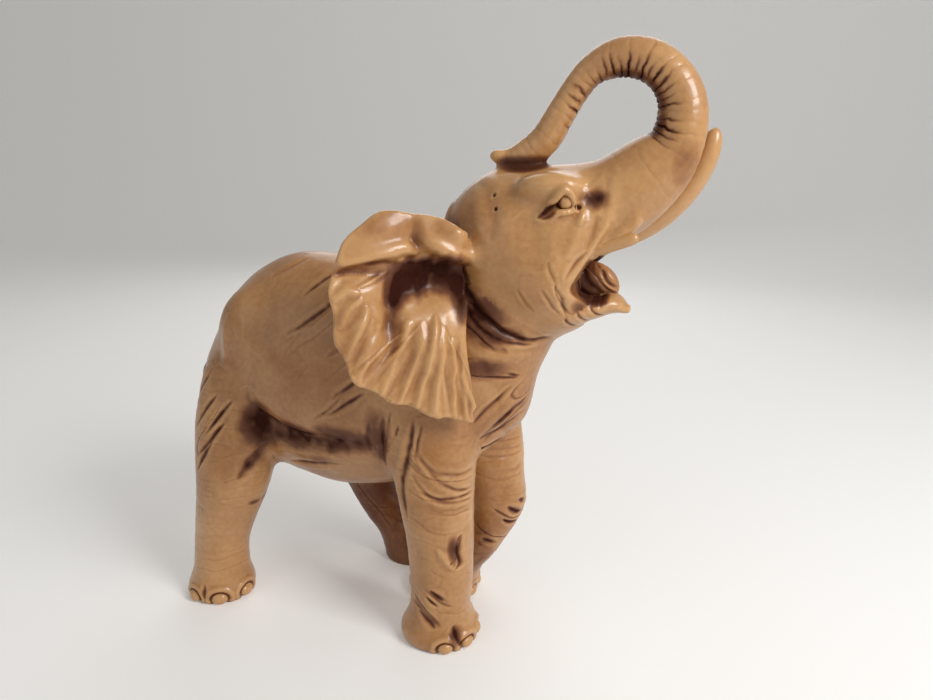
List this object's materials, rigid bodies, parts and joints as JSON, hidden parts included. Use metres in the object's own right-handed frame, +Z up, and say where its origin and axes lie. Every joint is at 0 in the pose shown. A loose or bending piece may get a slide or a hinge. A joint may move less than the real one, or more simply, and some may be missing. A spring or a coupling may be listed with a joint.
{
  "type": "elephant figurine",
  "caption": "Standing resin elephant ornament with a raised, looped trunk, open mouth and spread ears, cast as keyed pieces that are glued together.",
  "frame": {"origin": "on the table under the middle of the figurine's length and width", "axes": "+X toward the elephant's front, +Y to the elephant's left, +Z up"},
  "size_m": [0.2388, 0.1302, 0.2524],
  "materials": {
    "ivory_resin": "glossy lacquered cast resin in the colour of old ivory, with a red-brown stain wiped into its creases",
    "stained_resin": "glossy cast resin under a dark red-brown stain"
  },
  "bodies": {
    "root": {"torso": "ivory_resin", "head": "ivory_resin", "lower_jaw": "ivory_resin", "tongue": "stained_resin", "trunk": "ivory_resin", "right_tusk": "ivory_resin", "left_tusk": "ivory_resin", "right_ear": "ivory_resin", "left_ear": "ivory_resin", "right_eye": "ivory_resin", "left_eye": "ivory_resin", "tail": "ivory_resin", "front_right_leg": "ivory_resin", "front_left_leg": "ivory_resin", "rear_right_leg": "ivory_resin", "rear_left_leg": "ivory_resin"}
  },
  "joints": []
}
